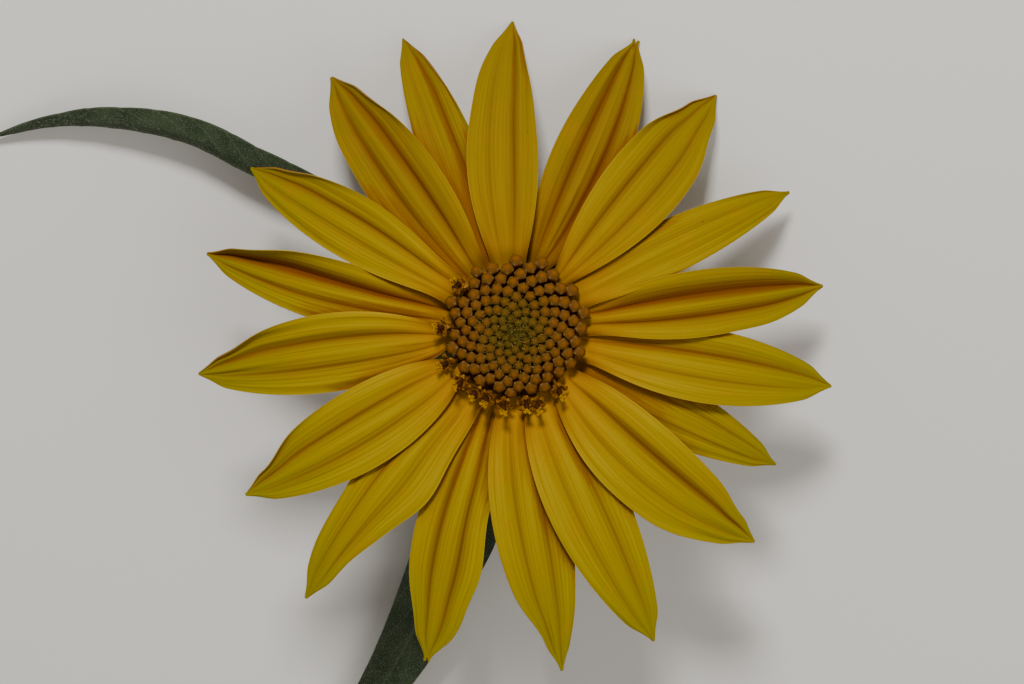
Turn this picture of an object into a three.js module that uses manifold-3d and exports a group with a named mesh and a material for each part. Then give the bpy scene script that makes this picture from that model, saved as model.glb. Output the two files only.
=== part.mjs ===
// A single Maximilian sunflower: one flower head on a cut stem with two leaves, lying on a surface.
// Millimetres, +Z up. The stem lies along -Y and bends up under the head, which faces up
// and leans towards +Y. In the head's own frame +Z is its axis and +Y is twelve o'clock.
import * as THREE from 'three';
import { mergeVertices } from 'three/addons/utils/BufferGeometryUtils.js';
import Module from 'manifold-3d';

const wasm = await Module();
wasm.setup();

// Driving dimensions

const degrees = THREE.MathUtils.degToRad;

const HEAD_HEIGHT = 22;
const HEAD_TILT = degrees(20);
const HEAD_TURN = degrees(20);
const CLEARANCE = 0.3;
const ROUND_SIDES = 24;
const SAME_POINT = 1e-4;
const SHARPEST_FOLD = 0.5;

const STEM_RADIUS = 1.5;
const STEM_REST_ANGLE = degrees(28);
const STEM_REST = STEM_RADIUS * Math.cos(STEM_REST_ANGLE);
const STEM_BEND_RADIUS = 17.8;
const STEM_END_Y = -110;
const STEM_END_X = 3.5;
const STEM_SIDES = 10;
const STEM_STEPS = 24;

const CUP_BOTTOM = -9.5;
const CUP_TOP = -2.2;
const CUP_RADIUS = 9;

const DISC_BOTTOM = CUP_TOP + CLEARANCE;
const DISC_TOP = 3.6;
const DISC_RADIUS = 8;

const FLORET_COUNT = 140;
const FLORET_SIDES = 5;
const FLORET_SPREAD = 7.4;
const FLORET_ROOT = { middle: 2.7, rim: 1 };
const FLORET_ROOM = 0.95;
const SPIRAL_POWER = 0.55;
const DOME_POWER = 2.2;
const RIM_LEAN = degrees(38);
const GOLDEN_ANGLE = Math.PI * (3 - Math.sqrt(5));
const BUD_RADIUS = { middle: 0.46, rim: 0.74 };
const BUD_LENGTH = { middle: 1.9, rim: 2.9 };
const BUD_FOOT_SHARE = 0.4;
const BUD_CAP = 0.4;
const OPEN_CLOCKS = [141, 162, 173, 188, 201, 214, 227, 245, 276, 312];
const OPEN_TUBE = { foot: 0.4, mouth: 0.7, top: 2.6 };
const OPEN_COLLAR = { tip: 1.35, notch: 0.75, bottom: 2.3, depth: 0.6 };
const OPEN_COLUMN = { bottom: 2.5, radius: 0.48, shoulder: 4.2, neck: 0.42, top: 4.6 };

const RAY_SEAT_RADIUS = 8.6;
const RAY_RISE = 0.8;
const RAY_SHOULDER = 0.14;
const RAY_THICKNESS = 0.6;
const RAY_FULLNESS = 0.6;
const RAY_DROOP_POWER = 2.2;
const RAY_CLAW_HALF = 0.85;
const RAY_TIP_HALF = 0.3;
const RAY_GROOVE_DEPTH = 0.35;
const RAY_GROOVE_PLACE = 1 / 3;
const RAY_GROOVE_WIDTH = 0.14;
const RAY_ROWS = 10;
const RAY_COLUMNS = 6;

const LEAF_THICKNESS = 0.7;
const LEAF_STALK_HALF = 0.9;
const LEAF_TIP_HALF = 0.35;
const LEAF_ROWS = 14;
const LEAF_COLUMNS = 6;

const BRACT_COUNT = 11;
const BRACT_WIDTH = 2.5;
const BRACT_THICKNESS = 0.7;
const BRACT_TIP_SHARE = 0.22;
const BRACT_TAPER_POWER = 1.6;
const BRACT_CHANNEL = 0.25;
const BRACT_LENGTH_STEPS = 5;

// The rays, clockwise from twelve o'clock: the clock angles of the base and of the tip, the radius
// that the tip reaches, the greatest width and its place along the length, how high the blade lies
// above the seat, its roll (clockwise edge up), the droop of its tip and its clockwise bow.
const RAYS = [
  { base: -5, tip: 0, reach: 42.0, width: 9.3, full: 0.44, lift: 1.5, roll: 2, droop: 10, bow: -0.8 },
  { base: 17.5, tip: 22, reach: 42.7, width: 9.7, full: 0.48, lift: -0.8, roll: -2, droop: 6.5, bow: 0.8 },
  { base: 40, tip: 40, reach: 42.3, width: 10.6, full: 0.55, lift: 1.9, roll: 4, droop: 10.3, bow: 0.3 },
  { base: 57, tip: 63, reach: 41.5, width: 7.4, full: 0.42, lift: 1.35, roll: 8, droop: 9, bow: 0 },
  { base: 78.5, tip: 81, reach: 41.8, width: 8.9, full: 0.5, lift: 1, roll: 9, droop: 7.5, bow: 0 },
  { base: 99.5, tip: 99.5, reach: 43.1, width: 10, full: 0.49, lift: 0.6, roll: 9, droop: 6.2, bow: 0 },
  { base: 117, tip: 117, reach: 39.2, width: 9, full: 0.36, lift: -0.5, roll: -1, droop: 6, bow: 0 },
  { base: 134.5, tip: 130.5, reach: 42.6, width: 11, full: 0.43, lift: 1.7, roll: 4, droop: 5, bow: 1.1 },
  { base: 157, tip: 155.6, reach: 45.5, width: 11, full: 0.42, lift: 1.1, roll: 9, droop: 4.5, bow: 0 },
  { base: 177.5, tip: 172, reach: 45.9, width: 10.4, full: 0.41, lift: 0.4, roll: 9, droop: 4.5, bow: 0 },
  { base: 197.5, tip: 195, reach: 45.9, width: 10, full: 0.52, lift: -0.4, roll: -4, droop: 4.5, bow: 0 },
  { base: 219.5, tip: 218, reach: 45.1, width: 9, full: 0.36, lift: 0.5, roll: -3, droop: 4.5, bow: 1 },
  { base: 238.5, tip: 239.3, reach: 41.9, width: 10.9, full: 0.46, lift: 1.7, roll: 0, droop: 5, bow: -0.4 },
  { base: 264.5, tip: 262.6, reach: 42.9, width: 10.8, full: 0.48, lift: 1, roll: 7.5, droop: 5.6, bow: 0 },
  { base: 284.5, tip: 285, reach: 42.5, width: 8.4, full: 0.47, lift: 0.1, roll: -4, droop: 6.4, bow: -0.8 },
  { base: 306.5, tip: 302.2, reach: 41.5, width: 8.6, full: 0.53, lift: 1.6, roll: 5, droop: 6.6, bow: 0 },
  { base: 324, tip: 325, reach: 42.4, width: 10.3, full: 0.47, lift: 1, roll: 8, droop: 7.6, bow: -0.3 },
  { base: 339.5, tip: 339.3, reach: 42.5, width: 7.8, full: 0.42, lift: -0.15, roll: -3, droop: 9, bow: 0 },
];

// Three rows of bracts: the radius and height where each is rooted in the cup, then the points
// that its middle line passes, from the cup out to the turned-down tip.
const BRACT_ROWS = [
  { turn: 0, line: [[6.6, -3.9], [9.8, -3.1], [14, -3.4], [17.6, -5], [19.8, -7.6]] },
  { turn: 11, line: [[4.6, -5.7], [8.6, -5.4], [12.4, -6.2], [15.4, -8.2], [17, -10.8]] },
  { turn: 22, line: [[2.7, -7.4], [6, -7.7], [9.2, -9], [11.6, -11.2], [12.8, -13.8]] },
];

// The leaves: the points their midribs pass, from the stem out to the tip, the width, the place
// along the length where they are fullest, how slender they run out (more is more slender), and
// how far each half is folded up.
const LEAVES = [
  {
    name: 'leaf_left',
    midrib: [[-2.1, -6.4, 7.5], [-14, -0.8, 6.4], [-30, 4, 6.4], [-42.6, 5.3, 6.2],
      [-52, 4.8, 5.4], [-62, 2.8, 4.2], [-71, -0.9, 2.7], [-80.6, -7.3, 1]],
    opensTowards: [-0.342, 0.883, -0.321],
    width: 8,
    full: 0.5,
    fullness: 0.9,
    fold: degrees(65),
  },
  {
    name: 'leaf_back',
    midrib: [[0, -11.2, 6.9], [0.4, -17, 10], [1.2, -27, 10.6], [1.6, -40, 8.2],
      [0.4, -60, 5.2], [-2.4, -72, 4.2], [-6, -82, 2], [-9, -90, 0.8]],
    opensTowards: [0, 0, 1],
    width: 10.4,
    full: 0.34,
    fullness: 1.3,
    fold: degrees(20),
  },
];

const COLOURS = {
  ray: 0xe2b007,
  disc: 0xc8861c,
  involucre: 0x6d7d50,
  stem: 0x75854f,
  leaf: 0x6f8062,
};

// Shared shapes

const smooth = (share) => THREE.MathUtils.smoothstep(share, 0, 1);

function onClock(radius, clock, height = 0) {
  const angle = degrees(clock);
  return new THREE.Vector3(radius * Math.sin(angle), radius * Math.cos(angle), height);
}

// A lanceolate outline: 0 at both ends and 1 at its fullest place
function lanceolate(share, fullest, fullness) {
  const power = Math.log(0.5) / Math.log(fullest);
  return Math.max(0, Math.sin(Math.PI * share ** power)) ** fullness;
}

// The outward normal at a point of a blade's grid, lengthened so that the blade keeps its
// thickness where it is folded
function bladeNormal(grid, i, j) {
  const rows = grid.length - 1;
  const columns = grid[0].length - 1;
  const along = grid[Math.min(i + 1, rows)][j].clone().sub(grid[Math.max(i - 1, 0)][j]);
  const left = grid[i][Math.max(j, 1)].clone().sub(grid[i][Math.max(j, 1) - 1]);
  const right = grid[i][Math.min(j + 1, columns)].clone().sub(grid[i][Math.min(j + 1, columns) - 1]);
  const leftNormal = left.cross(along).normalize();
  const rightNormal = right.cross(along).normalize();
  const normal = leftNormal.clone().add(rightNormal).normalize();
  return normal.divideScalar(Math.max(SHARPEST_FOLD, normal.dot(rightNormal)));
}

// The closed loop of grid indices round a blade's margin
function marginLoop(rows, columns) {
  const stride = columns + 1;
  const loop = [];
  for (let j = 0; j < columns; j++) {
    loop.push(j);
  }
  for (let i = 0; i < rows; i++) {
    loop.push(i * stride + columns);
  }
  for (let j = columns; j > 0; j--) {
    loop.push(rows * stride + j);
  }
  for (let i = rows; i > 0; i--) {
    loop.push(i * stride);
  }
  return loop;
}

// A thin closed blade: place(along, across) gives its middle surface, with along from 0 to 1 and
// across from -1 to 1. Both faces are split into triangles alike.
function blade({ rows, columns, thickness, place }) {
  const grid = [];
  for (let i = 0; i <= rows; i++) {
    const line = [];
    for (let j = 0; j <= columns; j++) {
      line.push(place(i / rows, (2 * j) / columns - 1));
    }
    grid.push(line);
  }
  const upper = [];
  const lower = [];
  grid.forEach((line, i) => {
    line.forEach((point, j) => {
      const offset = bladeNormal(grid, i, j).multiplyScalar(thickness / 2);
      upper.push(...point.clone().add(offset).toArray());
      lower.push(...point.clone().sub(offset).toArray());
    });
  });
  const stride = columns + 1;
  const under = (rows + 1) * stride;
  const faces = [];
  for (let i = 0; i < rows; i++) {
    for (let j = 0; j < columns; j++) {
      const a = i * stride + j;
      const b = a + 1;
      const c = b + stride;
      const d = a + stride;
      faces.push(a, b, c, a, c, d);
      faces.push(under + a, under + c, under + b, under + a, under + d, under + c);
    }
  }
  const loop = marginLoop(rows, columns);
  loop.forEach((p, k) => {
    const q = loop[(k + 1) % loop.length];
    faces.push(p, under + p, under + q, p, under + q, q);
  });
  const geometry = new THREE.BufferGeometry();
  geometry.setAttribute('position', new THREE.Float32BufferAttribute([...upper, ...lower], 3));
  geometry.setIndex(faces);
  return geometry;
}

// A turned shape round +Z from [radius, height] points that start and end on the axis
function turned(profile, sides) {
  const points = profile.map(([radius, height]) => new THREE.Vector2(radius, height));
  return new THREE.LatheGeometry(points, sides).rotateX(Math.PI / 2);
}

function toSolid(geometry) {
  const bare = geometry.clone();
  bare.deleteAttribute('normal');
  bare.deleteAttribute('uv');
  const merged = mergeVertices(bare, SAME_POINT);
  const index = merged.getIndex().array;
  const kept = [];
  for (let k = 0; k < index.length; k += 3) {
    const [a, b, c] = [index[k], index[k + 1], index[k + 2]];
    if (a !== b && b !== c && c !== a) {
      kept.push(a, b, c);
    }
  }
  const mesh = new wasm.Mesh({
    numProp: 3,
    vertProperties: new Float32Array(merged.getAttribute('position').array),
    triVerts: new Uint32Array(kept),
  });
  return new wasm.Manifold(mesh);
}

function joined(geometries) {
  const [first, ...others] = geometries.map(toSolid);
  const mesh = others.reduce((whole, solid) => whole.add(solid), first).getMesh();
  const geometry = new THREE.BufferGeometry();
  geometry.setAttribute('position', new THREE.Float32BufferAttribute(mesh.vertProperties, 3));
  geometry.setIndex(Array.from(mesh.triVerts));
  return geometry;
}

function addPiece(group, name, geometry, colour, roughness) {
  const material = new THREE.MeshStandardMaterial({ color: colour, roughness, metalness: 0 });
  const mesh = new THREE.Mesh(geometry, material);
  mesh.name = name;
  group.add(mesh);
  return mesh;
}

// Ray florets

function rayHalfWidth(ray, along) {
  const body = (ray.width / 2) * lanceolate(along, ray.full, RAY_FULLNESS);
  const lamina = Math.max(body, RAY_TIP_HALF);
  return THREE.MathUtils.lerp(RAY_CLAW_HALF, lamina, smooth(along / RAY_SHOULDER));
}

function rayGroove(along, across) {
  const away = (Math.abs(across) - RAY_GROOVE_PLACE) / RAY_GROOVE_WIDTH;
  return RAY_GROOVE_DEPTH * Math.sin(Math.PI * along) * Math.exp(-away * away);
}

// A point of the ray's middle surface: it rises from its narrow claw under the outer florets,
// then runs out along its chord, rolls to lie over one neighbour and droops towards the tip
function rayPoint(ray, along, across) {
  const start = onClock(RAY_SEAT_RADIUS, ray.base);
  const chord = onClock(ray.reach, ray.tip).sub(start);
  const clockwise = new THREE.Vector3(chord.y, -chord.x, 0).normalize();
  const rise = smooth(along / RAY_SHOULDER);
  const roll = degrees(ray.roll) * rise;
  const out = rayHalfWidth(ray, along) * across;
  const sideways = out * Math.cos(roll) + ray.bow * Math.sin(Math.PI * along);
  const point = start.addScaledVector(chord, along).addScaledVector(clockwise, sideways);
  point.z = ray.lift - RAY_RISE * (1 - rise);
  point.z += out * Math.sin(roll) - ray.droop * along ** RAY_DROOP_POWER - rayGroove(along, across);
  return point;
}

function rayGeometry(ray) {
  return blade({
    rows: RAY_ROWS,
    columns: RAY_COLUMNS,
    thickness: RAY_THICKNESS,
    place: (share, across) => rayPoint(ray, (share + (1 - Math.cos(Math.PI * share)) / 2) / 2, across),
  });
}

// Disc: a low dome covered by florets in a golden-angle spiral, most of them five-sided buds

function budGeometry(radius, length) {
  const profile = [[0, 0], [radius * BUD_FOOT_SHARE, 0], [radius, length - BUD_CAP], [0, length]];
  return turned(profile, FLORET_SIDES);
}

// The collar of an open floret: five spread lobes
function collarGeometry() {
  const corners = 2 * FLORET_SIDES;
  const points = [];
  for (let k = 0; k < corners; k++) {
    const radius = k % 2 === 0 ? OPEN_COLLAR.tip : OPEN_COLLAR.notch;
    const angle = (2 * Math.PI * k) / corners;
    points.push(new THREE.Vector2(radius * Math.cos(angle), radius * Math.sin(angle)));
  }
  const star = new THREE.Shape(points);
  const collar = new THREE.ExtrudeGeometry(star, { depth: OPEN_COLLAR.depth, bevelEnabled: false });
  return collar.translate(0, 0, OPEN_COLLAR.bottom);
}

// An open floret: its tube, its collar and the column of anthers
function openFloretGeometries() {
  const tube = [[0, 0], [OPEN_TUBE.foot, 0], [OPEN_TUBE.mouth, OPEN_TUBE.top], [0, OPEN_TUBE.top]];
  const column = [
    [0, OPEN_COLUMN.bottom],
    [OPEN_COLUMN.radius, OPEN_COLUMN.bottom],
    [OPEN_COLUMN.neck, OPEN_COLUMN.shoulder],
    [0, OPEN_COLUMN.top],
  ];
  return [turned(tube, FLORET_SIDES), turned(column, FLORET_SIDES), collarGeometry()];
}

// Sets a floret down with its root inside the dome, leaning outwards as it nears the rim
function seatFloret(geometry, radius, angle, spin) {
  const share = radius / FLORET_SPREAD;
  const height = THREE.MathUtils.lerp(FLORET_ROOT.middle, FLORET_ROOT.rim, share ** DOME_POWER);
  geometry.rotateZ(spin);
  geometry.rotateX(-RIM_LEAN * share ** 2);
  geometry.translate(0, radius, height);
  geometry.rotateZ(-angle);
  return geometry;
}

function closedFlorets() {
  const openPlaces = OPEN_CLOCKS.map((clock) => onClock(FLORET_SPREAD, clock));
  const florets = [];
  for (let n = 1; n <= FLORET_COUNT; n++) {
    const share = (n / FLORET_COUNT) ** SPIRAL_POWER;
    const angle = n * GOLDEN_ANGLE;
    const place = onClock(share * FLORET_SPREAD, THREE.MathUtils.radToDeg(angle));
    const free = openPlaces.every((open) => open.distanceTo(place) > FLORET_ROOM);
    if (free) {
      const radius = THREE.MathUtils.lerp(BUD_RADIUS.middle, BUD_RADIUS.rim, share);
      const length = THREE.MathUtils.lerp(BUD_LENGTH.middle, BUD_LENGTH.rim, share);
      florets.push(seatFloret(budGeometry(radius, length), share * FLORET_SPREAD, angle, n));
    }
  }
  return florets;
}

function openFlorets() {
  return OPEN_CLOCKS.flatMap((clock, k) => (
    openFloretGeometries().map((geometry) => seatFloret(geometry, FLORET_SPREAD, degrees(clock), k))
  ));
}

function discGeometry() {
  const dome = turned([
    [0, DISC_BOTTOM],
    [DISC_RADIUS - 0.4, DISC_BOTTOM],
    [DISC_RADIUS, DISC_BOTTOM + 0.6],
    [DISC_RADIUS, 0.9],
    [DISC_RADIUS * 0.8, 2],
    [DISC_RADIUS * 0.45, 3.1],
    [0, DISC_TOP],
  ], ROUND_SIDES);
  return joined([dome, ...closedFlorets(), ...openFlorets()]);
}

// Involucre: the green cup under the head with its three rows of narrow bracts

function bractGeometry(line, clock) {
  const curve = new THREE.CatmullRomCurve3(line.map(([radius, height]) => onClock(radius, clock, height)));
  const clockwise = onClock(1, clock + 90);
  return blade({
    rows: BRACT_LENGTH_STEPS,
    columns: 2,
    thickness: BRACT_THICKNESS,
    place: (along, across) => {
      const taper = THREE.MathUtils.lerp(1, BRACT_TIP_SHARE, along ** BRACT_TAPER_POWER);
      const point = curve.getPoint(along).addScaledVector(clockwise, (BRACT_WIDTH / 2) * taper * across);
      point.z += BRACT_CHANNEL * Math.abs(across);
      return point;
    },
  });
}

function involucreGeometry() {
  const cup = turned([
    [0, CUP_BOTTOM],
    [1.7, CUP_BOTTOM],
    [2.8, CUP_BOTTOM + 1],
    [5.2, CUP_BOTTOM + 2.8],
    [7.8, CUP_BOTTOM + 5.2],
    [CUP_RADIUS, CUP_TOP - 0.7],
    [CUP_RADIUS - 0.3, CUP_TOP],
    [0, CUP_TOP],
  ], ROUND_SIDES);
  const pieces = [cup];
  BRACT_ROWS.forEach(({ turn, line }) => {
    for (let k = 0; k < BRACT_COUNT; k++) {
      pieces.push(bractGeometry(line, turn + (360 * k) / BRACT_COUNT));
    }
  });
  return joined(pieces);
}

// Stem: round, pressed flat where it lies, bent up under the head

function stemSection() {
  const first = Math.PI / 2 + STEM_REST_ANGLE;
  const sweep = 2 * (Math.PI - STEM_REST_ANGLE);
  const points = [];
  for (let k = 0; k <= STEM_SIDES; k++) {
    const angle = first + (sweep * k) / STEM_SIDES;
    points.push(new THREE.Vector2(STEM_RADIUS * Math.cos(angle), STEM_RADIUS * Math.sin(angle)));
  }
  return new THREE.Shape(points);
}

function stemPath() {
  const headBase = CUP_BOTTOM - CLEARANCE;
  const top = new THREE.Vector3(
    0,
    headBase * Math.sin(HEAD_TILT),
    HEAD_HEIGHT + headBase * Math.cos(HEAD_TILT),
  );
  const bend = Math.PI / 2 - HEAD_TILT;
  const reach = (4 / 3) * Math.tan(bend / 4) * STEM_BEND_RADIUS;
  const down = new THREE.Vector3(0, -Math.sin(HEAD_TILT), -Math.cos(HEAD_TILT));
  const landing = new THREE.Vector3(0, top.y - STEM_BEND_RADIUS * Math.sin(bend), STEM_REST);
  const path = new THREE.CurvePath();
  path.add(new THREE.CubicBezierCurve3(
    top,
    top.clone().addScaledVector(down, reach),
    landing.clone().add(new THREE.Vector3(0, reach, 0)),
    landing,
  ));
  path.add(new THREE.QuadraticBezierCurve3(
    landing,
    new THREE.Vector3(0, (landing.y + STEM_END_Y) / 2, STEM_REST),
    new THREE.Vector3(STEM_END_X, STEM_END_Y, STEM_REST),
  ));
  return path;
}

function stemGeometry() {
  return new THREE.ExtrudeGeometry(stemSection(), {
    steps: STEM_STEPS,
    extrudePath: stemPath(),
    bevelEnabled: false,
  });
}

// Leaves: narrow, folded along the midrib and arched

function leafGeometry(leaf) {
  const midrib = new THREE.CatmullRomCurve3(leaf.midrib.map((point) => new THREE.Vector3(...point)));
  const opens = new THREE.Vector3(...leaf.opensTowards);
  return blade({
    rows: LEAF_ROWS,
    columns: LEAF_COLUMNS,
    thickness: LEAF_THICKNESS,
    place: (along, across) => {
      const fullHalf = leaf.width / 2;
      const body = fullHalf * lanceolate(along, leaf.full, leaf.fullness);
      const half = Math.max(body, THREE.MathUtils.lerp(LEAF_STALK_HALF, LEAF_TIP_HALF, along));
      const fold = leaf.fold * Math.sqrt(half / fullHalf);
      const tangent = midrib.getTangent(along);
      const side = tangent.clone().cross(opens).normalize();
      const up = side.clone().cross(tangent);
      const inner = Math.min(Math.abs(across), 1 / 3);
      const outer = Math.abs(across) - inner;
      const wide = inner * Math.cos(fold / 2) + outer * Math.cos(fold);
      const high = inner * Math.sin(fold / 2) + outer * Math.sin(fold);
      return midrib.getPoint(along)
        .addScaledVector(side, half * wide * Math.sign(across))
        .addScaledVector(up, half * high);
    },
  });
}

// The whole flower

const flower = new THREE.Group();
const head = new THREE.Group();
head.position.set(0, 0, HEAD_HEIGHT);
head.rotation.set(-HEAD_TILT, 0, HEAD_TURN);
flower.add(head);

addPiece(flower, 'stem', stemGeometry(), COLOURS.stem, 0.7);
LEAVES.forEach((leaf) => addPiece(flower, leaf.name, leafGeometry(leaf), COLOURS.leaf, 0.8));
addPiece(head, 'involucre', involucreGeometry(), COLOURS.involucre, 0.8);
addPiece(head, 'disc', discGeometry(), COLOURS.disc, 0.7);
RAYS.forEach((ray, k) => {
  const name = `ray_${String(k + 1).padStart(2, '0')}`;
  addPiece(head, name, rayGeometry(ray), COLOURS.ray, 0.6);
});

// The origin is the middle of the flower's footprint, on the surface it lies on
flower.updateMatrixWorld(true);
const footprint = new THREE.Box3().setFromObject(flower, true).getCenter(new THREE.Vector3());
flower.position.set(-footprint.x, -footprint.y, 0);

export default flower;
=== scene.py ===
import math
import random

import bmesh
import bpy
from mathutils import Matrix, Vector, noise
from mathutils.bvhtree import BVHTree


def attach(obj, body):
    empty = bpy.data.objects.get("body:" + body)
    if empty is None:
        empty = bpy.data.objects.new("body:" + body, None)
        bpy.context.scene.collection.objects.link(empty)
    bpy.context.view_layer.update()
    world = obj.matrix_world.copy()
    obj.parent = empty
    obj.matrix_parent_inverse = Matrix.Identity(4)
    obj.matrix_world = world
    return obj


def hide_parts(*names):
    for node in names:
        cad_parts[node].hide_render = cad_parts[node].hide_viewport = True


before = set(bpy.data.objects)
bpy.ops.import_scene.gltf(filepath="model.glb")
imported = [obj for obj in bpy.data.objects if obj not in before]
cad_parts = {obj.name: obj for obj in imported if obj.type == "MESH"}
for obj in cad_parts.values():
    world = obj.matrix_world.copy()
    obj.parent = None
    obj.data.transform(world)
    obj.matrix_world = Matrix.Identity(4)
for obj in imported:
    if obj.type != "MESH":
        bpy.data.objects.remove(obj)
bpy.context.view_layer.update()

MM = 0.001

# Where the middle of the head stands, in mm, and how far the head is tipped back and turned.
HEAD_STANDS = Vector((19.178, 36.147, 22))
HEAD_PLACE = HEAD_STANDS * MM
HEAD_TILT = math.radians(-20)
HEAD_TURN = math.radians(20)
HEAD = (
    Matrix.Translation(HEAD_PLACE)
    @ Matrix.Rotation(HEAD_TILT, 4, "X")
    @ Matrix.Rotation(HEAD_TURN, 4, "Z")
)

CAMERA_RIGHT = -0.34 * MM
CAMERA_UP = -1.2 * MM
CAMERA_DISTANCE = 383 * MM
CAMERA_LENS = 99.74
CAMERA_CLIP = 0.01
TABLE_SIZE = 3.0
TABLE_SQUARES = 60
LAMPS = (
    {"name": "key_lamp", "place": (-0.06, 0.33, 0.58), "size": 0.12, "watts": 3.95,
     "warmth": (1, 0.97, 0.92)},
    {"name": "fill_lamp", "place": (0.35, -0.35, 0.60), "size": 0.6, "watts": 1.5,
     "warmth": (1, 0.96, 0.90)},
)
ROOM_COLOUR = (0.96, 0.91, 0.84, 1)
ROOM_STRENGTH = 0.28


class Wiring:
    """Short ways to add nodes to one shader tree. Each gives back the socket that it puts out."""

    def __init__(self, tree):
        self.tree = tree

    def join(self, source, socket):
        """Feeds a socket from another node's, or sets it to a value."""
        if isinstance(source, bpy.types.NodeSocket):
            self.tree.links.new(source, socket)
        else:
            socket.default_value = (*source, 1) if socket.type == "RGBA" else source

    def node(self, kind, output=0, sources=None, **settings):
        """Adds a node: its settings by name, then its inputs, each a value or another node's output."""
        node = self.tree.nodes.new("ShaderNode" + kind)
        for name, value in settings.items():
            setattr(node, name, value)
        for name, source in (sources or {}).items():
            self.join(source, node.inputs[name])
        return node.outputs[output]

    def place(self, kind="Object"):
        return self.node("TexCoord", kind)

    def axis(self, source, name):
        return self.node("SeparateXYZ", name, {"Vector": source})

    def attribute(self, name):
        return self.node("Attribute", "Fac", attribute_name=name)

    def noise(self, scale, detail=2.0, place=None):
        place = place or self.place()
        return self.node("TexNoise", "Fac", {"Vector": place, "Scale": scale, "Detail": detail})

    def cells(self, scale, place=None):
        """How far each point is from its cell's middle. The same node's Color is the cell's own."""
        return self.node("TexVoronoi", "Distance", {"Vector": place or self.place(), "Scale": scale})

    def maths(self, operation, first, second=0.0):
        return self.node("Math", 0, {0: first, 1: second}, operation=operation)

    def times(self, first, second):
        return self.maths("MULTIPLY", first, second)

    def ramp(self, source, low, high):
        """A smooth rise from 0 to 1 as the source goes from low to high."""
        return self.node("MapRange", "Result", {"Value": source, "From Min": low, "From Max": high},
                         interpolation_type="SMOOTHSTEP")

    def mix(self, share, first, second):
        """A colour between two."""
        return self.node("Mix", 2, {0: share, 6: first, 7: second}, data_type="RGBA")

    def tint(self, colour, share, weight, tone):
        """The colour, with a tone laid over it by a mask and its weight."""
        return self.mix(self.times(share, weight), colour, tone)


class Skin(Wiring):
    """A new material, with the constants set on its Principled shader."""

    def __init__(self, name, **constants):
        self.material = bpy.data.materials.new(name)
        self.material.use_nodes = True
        super().__init__(self.material.node_tree)
        self.shader = self.tree.nodes["Principled BSDF"]
        for socket, value in constants.items():
            self.shader.inputs[socket.replace("_", " ")].default_value = value

    def paint(self, colour):
        self.join(colour, self.shader.inputs["Base Color"])

    def emboss(self, height, strength, distance):
        relief = self.node("Bump", "Normal", {"Height": height, "Strength": strength, "Distance": distance})
        self.join(relief, self.shader.inputs["Normal"])


def deselect():
    bpy.ops.object.select_all(action="DESELECT")


deselect()
bpy.ops.mesh.primitive_grid_add(x_subdivisions=TABLE_SQUARES, y_subdivisions=TABLE_SQUARES, size=TABLE_SIZE)
table_top = bpy.context.object
table_top.name = "table_top"
skin = Skin("table_top_paint", Roughness=0.9)
skin.paint(skin.mix(skin.noise(6.0), (0.86, 0.85, 0.83), (0.89, 0.88, 0.86)))
table_top.data.materials.append(skin.material)

for lamp in LAMPS:
    bpy.ops.object.light_add(type="AREA", location=HEAD @ Vector(lamp["place"]))
    light = bpy.context.object
    light.name = lamp["name"]
    light.data.size = lamp["size"]
    light.data.energy = lamp["watts"]
    light.data.color = lamp["warmth"]
    light.rotation_euler = (HEAD_PLACE - light.location).to_track_quat("-Z", "Y").to_euler()

room = bpy.data.worlds.new("room")
room.use_nodes = True
room.node_tree.nodes["Background"].inputs["Color"].default_value = ROOM_COLOUR
room.node_tree.nodes["Background"].inputs["Strength"].default_value = ROOM_STRENGTH
bpy.context.scene.world = room

bpy.ops.object.camera_add()
camera = bpy.context.object
camera.name = "camera"
camera.data.lens = CAMERA_LENS
camera.data.clip_start = CAMERA_CLIP
camera.matrix_world = HEAD @ Matrix.Translation((CAMERA_RIGHT, CAMERA_UP, CAMERA_DISTANCE))
bpy.context.scene.camera = camera


# The petals: eighteen ray florets, each a thin golden blade with fine veins that run its length,
# most with two long folds. Each grows from the rim of the head and lies over one neighbour.

PETAL_SEAT_RADIUS = 8.6
PETAL_RISE = 0.8
PETAL_SHOULDER = 0.1
PETAL_BASE_HALF = 2.3
PETAL_BASE_FADE = 0.45
PETAL_TIP_HALF = 0.1
PETAL_POINT = 0.45
PETAL_POINT_FROM = 0.9
PETAL_FULLNESS = 0.6
PETAL_DROOP_POWER = 2.2
PETAL_BENT_BY = 0.2
PETAL_ROWS = 60
PETAL_COLUMNS = 56
PETAL_THICKNESS = 0.3
PETAL_MARGIN_FROM = 0.7
PETAL_MARGIN_WIDTH = 0.3
PETAL_MARGIN_SHARE = 0.4
PETAL_VEINS = 17
PETAL_VEIN_HEIGHT = 0.008
PETAL_ARCH = 0.35
PETAL_RIPPLE = 0.22
PETAL_RIPPLE_PACE = (4, 1.3, 7.7)
PETAL_RIPPLE_FADE = 0.3
PETAL_RIB = 0.28
PETAL_RIB_PACE = (1.6, 5.2, 3.1)
PETAL_RIB_FADES = (0.2, 0.15)
CLEFT_WIDTH = 0.28
CLEFT_FROM = 0.94
CLEFT_LENGTH = 0.06
FOLD_PLACE = 1 / 3
FOLD_WIDTH = 0.14
FOLD_DEPTH = 1.3
FOLD_FLOOR = 0.2
FOLD_LINE_WIDTH = 0.045
FOLD_LINE_GAIN = 2.5
FOLD_FROM = 0.24
FOLD_TO = 0.46
CURL_FROM = 0.58
CURL_STARTS = 0.5
CURL_ENDS = 0.9
GOLDEN_ANGLE = math.pi * (3 - math.sqrt(5))
COVER_RAYS = 16
COVER_LEAN = math.radians(72)
COVER_REACH = 5 * MM
COVER_START = 0.12 * MM

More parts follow.
